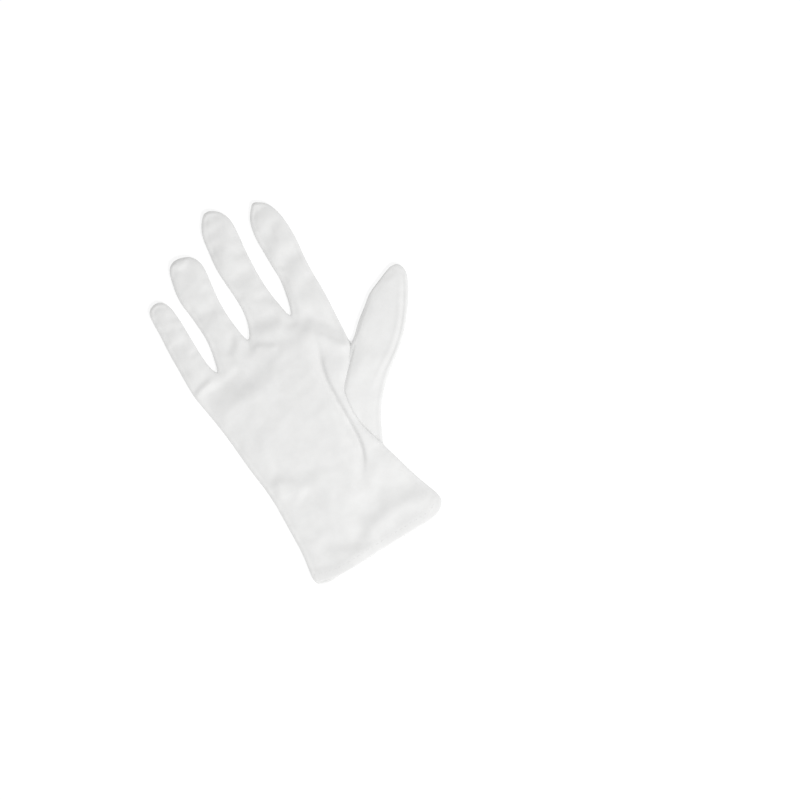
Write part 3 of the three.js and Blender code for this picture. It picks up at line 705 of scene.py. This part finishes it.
class GloveCloth(bpy.types.PropertyGroup):
    """Sizes of the cloth's folds, seams and stitches, and how it creases by itself."""

    surplus: FloatProperty(
        name="Surplus", description="Share by which the upper cloth is too large for its sewn edges",
        default=0.011, min=0.0, max=0.05, precision=4, subtype="FACTOR",
    )
    stiffness: FloatProperty(
        name="Bending stiffness",
        description="Stiffness of the cloth in the simulation, which widens its creases",
        default=2.0, min=0.0, max=20.0,
    )
    hold: FloatProperty(
        name="Hold", description="How strongly the simulated cloth is drawn to the shape it was laid in",
        default=0.2, min=0.0, max=1.0, subtype="FACTOR",
    )
    palm_creasing: FloatProperty(
        name="Creasing of the palm", description="Share of the simulated moves that the palm's cloth gets",
        default=0.3, min=0.0, max=2.0, subtype="FACTOR",
    )
    finger_creasing: FloatProperty(
        name="Creasing of the fingers", description="Share of the simulated moves that the fingers' cloth gets",
        default=0.8, min=0.0, max=2.0, subtype="FACTOR",
    )
    hem: FloatProperty(
        name="Hem", description="Distance of the hem's stitches from the cuff's edge",
        default=0.005, min=0.002, max=0.03, precision=4, unit="LENGTH",
    )
    stitch: FloatProperty(
        name="Stitch length", description="Length of one visible stitch",
        default=0.0019, min=0.0005, max=0.01, precision=5, unit="LENGTH",
    )
    thread: FloatProperty(
        name="Thread width", description="Width of the sewing thread",
        default=0.0003, min=0.0001, max=0.002, precision=5, unit="LENGTH",
    )
    groove: FloatProperty(
        name="Seam groove", description="Depth of the groove along the thumb seam",
        default=0.0004, min=0.0, max=0.002, precision=5, unit="LENGTH",
    )
    crease: FloatProperty(
        name="Creases", description="Share of their tabled heights that the folds and creases get",
        default=1.0, min=0.0, max=2.0, subtype="FACTOR",
    )
    unevenness: FloatProperty(
        name="Unevenness", description="Height of the soft uneven lie of the cloth",
        default=0.00025, min=0.0, max=0.001, precision=5, unit="LENGTH",
    )
    edge_rise: FloatProperty(
        name="Rise at the edge",
        description="Share of the solid's height that the upper cloth keeps at its edge",
        default=0.4, min=0.1, max=1.0, subtype="FACTOR",
    )
    thumb_height: FloatProperty(
        name="Thumb height", description="Height of the thumb's flat top above the seam",
        default=0.0024, min=0.001, max=0.01, precision=4, unit="LENGTH",
    )
    tip_rise: FloatProperty(
        name="Rise at the tips", description="Share of the solid's height that the fingertips' cloth keeps",
        default=0.68, min=0.1, max=1.0, subtype="FACTOR",
    )
    palm_rise: FloatProperty(
        name="Rise in the palm", description="Share of the solid's height that the upper cloth keeps inside",
        default=0.85, min=0.1, max=1.0, subtype="FACTOR",
    )
    rise_width: FloatProperty(
        name="Rise width", description="Distance from the sewn edge over which the upper cloth rises",
        default=0.026, min=0.001, max=0.1, precision=4, unit="LENGTH",
    )
    seam_ridge: FloatProperty(
        name="Seam ridge", description="Height of the ridge that the seam allowance makes next to the edge",
        default=0.00018, min=0.0, max=0.001, precision=5, unit="LENGTH",
    )
    fade: FloatProperty(
        name="Edge fade", description="Distance from the sewn edge over which the folds fade out",
        default=0.003, min=0.001, max=0.02, precision=4, unit="LENGTH",
    )


class GloveLook(bpy.types.PropertyGroup):
    """Colours of the cotton, with painted shade between its loops, and the size of its knit."""

    cotton: FloatVectorProperty(
        name="Cotton", description="Colour of the loops of the knit",
        default=(0.84, 0.84, 0.835), min=0, max=1, subtype="COLOR",
    )
    # The darker colour: painted shade between the knit's loops and in the thread's twist, and the low end of the
    # cotton's random tone
    painted_shade_and_tone: FloatVectorProperty(
        name="Shade", description="Colour between the loops of the knit",
        default=(0.77, 0.77, 0.765), min=0, max=1, subtype="COLOR",
    )
    wale: FloatProperty(
        name="Rib width", description="Width of one rib of the knit",
        default=0.0008, min=0.0003, max=0.003, precision=5, unit="LENGTH",
    )
    course: FloatProperty(
        name="Loop length", description="Length of one loop of the knit along its rib",
        default=0.0006, min=0.0003, max=0.003, precision=5, unit="LENGTH",
    )


class GloveStage(bpy.types.PropertyGroup):
    """The floor, the lights and the camera."""

    floor: FloatVectorProperty(
        name="Floor", description="Colour of the floor", default=(0.3, 0.3, 0.3),
        min=0, max=1, subtype="COLOR",
    )
    sky: FloatProperty(
        name="Sky", description="Strength of the even light from all round", default=0.63, min=0, max=5,
    )
    key: FloatProperty(
        name="Key light", description="Power of the light from the cuff side", default=16.8,
        min=0, max=1000, unit="POWER",
    )
    height: FloatProperty(
        name="Camera height", description="Height of the camera above the glove", default=1.5,
        min=0.5, max=5, unit="LENGTH",
    )
    width: FloatProperty(
        name="View width", description="Width of the camera's view at the glove", default=0.5184,
        min=0.2, max=1, precision=4, unit="LENGTH",
    )


class GLOVE_OT_palm_cloth(bpy.types.Operator):
    """Make the palm's cloth from the palm panel"""

    bl_idname = "glove.palm_cloth"
    bl_label = "Palm cloth"

    def execute(self, context):
        piece = laid_cloth("palm_panel", "palm_cloth")
        set_places(piece.data, closed_lips(places_of(piece.data), 1))
        piece.data.materials.append(cotton_knit("palm cotton", 0))
        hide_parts("palm_panel")
        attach(piece, "root")
        return {"FINISHED"}


class GLOVE_OT_back_cloth(bpy.types.Operator):
    """Make the back's cloth from the back panel"""

    bl_idname = "glove.back_cloth"
    bl_label = "Back cloth"

    def execute(self, context):
        piece = fine_cloth("back_panel", "back_cloth", 2)
        set_places(piece.data, closed_lips(rested(places_of(piece.data)), -1))
        piece.data.materials.append(cotton_knit("back cotton", 0))
        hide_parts("back_panel")
        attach(piece, "root")
        return {"FINISHED"}


class GLOVE_OT_thumb_cloth(bpy.types.Operator):
    """Make the thumb's cloth from the set-in thumb"""

    bl_idname = "glove.thumb_cloth"
    bl_label = "Thumb cloth"

    def execute(self, context):
        piece = laid_cloth("thumb", "thumb_cloth")
        piece.data.materials.append(cotton_knit("thumb cotton", THUMB_LEAN))
        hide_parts("thumb")
        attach(piece, "root")
        return {"FINISHED"}


class GLOVE_OT_sheets(bpy.types.Operator):
    bl_idname = "glove.sheets"
    bl_label = "Cut sizes"

    def execute(self, context):
        return {"FINISHED"}


class GLOVE_OT_seam_stitches(bpy.types.Operator):
    """Sew the palm and the thumb to the back along the outline"""

    bl_idname = "glove.seam_stitches"
    bl_label = "Seam stitches"

    def execute(self, context):
        sizes = context.scene.glove_cloth
        upper = [surface_of("palm_cloth"), surface_of("thumb_cloth")]
        lower = surface_of("back_cloth")
        shape = bmesh.new()
        for place, _, outward in along_spans(RIMS["outline"], SEAM_SPACING):
            probe = (place + outward * 0.5 * MM).to_3d()
            ends = []
            for trees, height in ((upper, SEAM_HEIGHT + 0.45 * MM), ([lower], SEAM_HEIGHT - 0.45 * MM)):
                probe.z = height
                near = [tree.find_nearest(probe) for tree in trees]
                spot, normal, _, _ = min(near, key=lambda found: found[3])
                ends.append(spot + normal * sizes.thread * 0.1)
            if (ends[0] - ends[1]).length < 2.5 * MM:
                add_stitch(shape, *ends, sizes.thread)
        thread_piece(shape, "seam_stitches")
        return {"FINISHED"}


class GLOVE_OT_hem_stitches(bpy.types.Operator):
    """Sew the cuff's hem, on the palm's side and on the back's"""

    bl_idname = "glove.hem_stitches"
    bl_label = "Hem stitches"

    def execute(self, context):
        sizes = context.scene.glove_cloth
        shape = bmesh.new()
        for name, above in (("palm_cloth", 1), ("back_cloth", -1)):
            surface = surface_of(name)
            for place, along, outward in along_spans(RIMS["cuff"], HEM_SPACING):
                spot = place - outward * sizes.hem
                ends = []
                for side in (-0.5, 0.5):
                    probe = (spot + along * side * sizes.stitch).to_3d()
                    probe.z = above * 30 * MM
                    hit = surface.ray_cast(probe, (0, 0, -above))[0]
                    if hit is not None:
                        ends.append(hit + Vector((0, 0, above * sizes.thread * 0.1)))
                if len(ends) == 2:
                    add_stitch(shape, *ends, sizes.thread)
        thread_piece(shape, "hem_stitches")
        return {"FINISHED"}


def plain_floor(colour):
    """A wide pale floor just under the glove."""
    shape = bmesh.new()
    bmesh.ops.create_grid(shape, x_segments=1, y_segments=1, size=8)
    bmesh.ops.translate(shape, verts=shape.verts, vec=(0, 0, -FLOOR_GAP))
    mesh = bpy.data.meshes.new("floor")
    shape.to_mesh(mesh)
    shape.free()
    floor = bpy.data.objects.new("floor", mesh)
    bpy.context.scene.collection.objects.link(floor)
    finish = Finish("floor paper")
    paper = finish.node("ShaderNodeBsdfPrincipled", None, {
        "Base Color": (*colour, 1), "Roughness": 1.0, "Specular IOR Level": 0.0,
        "Emission Color": (1, 1, 1, 1), "Emission Strength": FLOOR_GLOW,
    })
    finish.node("ShaderNodeOutputMaterial", None, {"Surface": paper})
    mesh.materials.append(finish.material)


def soft_light(name, power, size, place, aim):
    """A square light that points at a place on the glove."""
    light = bpy.data.lights.new(name, "AREA")
    light.energy = power
    light.size = size
    holder = bpy.data.objects.new(name, light)
    holder.location = place
    holder.rotation_euler = (Vector(aim) - Vector(place)).to_track_quat("-Z", "Y").to_euler()
    bpy.context.scene.collection.objects.link(holder)


class GLOVE_OT_stage(bpy.types.Operator):
    """Set the floor, the lights and the camera"""

    bl_idname = "glove.stage"
    bl_label = "Stage"

    def execute(self, context):
        scene = context.scene
        stage = scene.glove_stage
        plain_floor(stage.floor)
        world = bpy.data.worlds.new("even light")
        world.use_nodes = True
        world.node_tree.nodes["Background"].inputs["Color"].default_value = (1, 1, 1, 1)
        world.node_tree.nodes["Background"].inputs["Strength"].default_value = stage.sky
        scene.world = world
        soft_light("key light", stage.key, LIGHT_SIZE, LIGHT_PLACE, (0, 0, 0))
        camera = bpy.data.cameras.new("camera")
        camera.sensor_width = 36
        camera.lens = camera.sensor_width * stage.height / stage.width
        holder = bpy.data.objects.new("camera", camera)
        holder.location = (*CAMERA_PLACE, stage.height)
        holder.rotation_euler = (0, 0, CAMERA_TURN)
        scene.collection.objects.link(holder)
        scene.camera = holder
        scene.view_settings.view_transform = "Standard"
        return {"FINISHED"}


class GLOVE_PT_panel(bpy.types.Panel):
    """Lists the glove's pieces in the sidebar"""

    bl_label = "Cotton glove"
    bl_idname = "GLOVE_PT_panel"
    bl_space_type = "VIEW_3D"
    bl_region_type = "UI"
    bl_category = "Glove"

    def draw(self, context):
        for group in ("glove_cloth", "glove_look", "glove_stage"):
            settings = getattr(context.scene, group)
            for name in settings.__annotations__:
                self.layout.prop(settings, name)
        for step in STEPS:
            self.layout.operator(step.bl_idname)


SETTINGS = {"glove_cloth": GloveCloth, "glove_look": GloveLook, "glove_stage": GloveStage}
STEPS = (
    GLOVE_OT_palm_cloth, GLOVE_OT_back_cloth, GLOVE_OT_thumb_cloth, GLOVE_OT_seam_stitches,
    GLOVE_OT_hem_stitches, GLOVE_OT_sheets, GLOVE_OT_stage,
)


def register():
    """Adds the settings, the steps and the panel"""
    for made in (*SETTINGS.values(), *STEPS, GLOVE_PT_panel):
        bpy.utils.register_class(made)
    for name, group in SETTINGS.items():
        setattr(bpy.types.Scene, name, PointerProperty(type=group))


def unregister():
    """Takes the settings, the steps and the panel away"""
    for name in SETTINGS:
        delattr(bpy.types.Scene, name)
    for made in reversed((*SETTINGS.values(), *STEPS, GLOVE_PT_panel)):
        bpy.utils.unregister_class(made)


def main():
    """Makes every piece and the stage"""
    register()
    for step in STEPS:
        group, operator = step.bl_idname.split(".")
        getattr(getattr(bpy.ops, group), operator)()


if __name__ == "__main__":
    main()
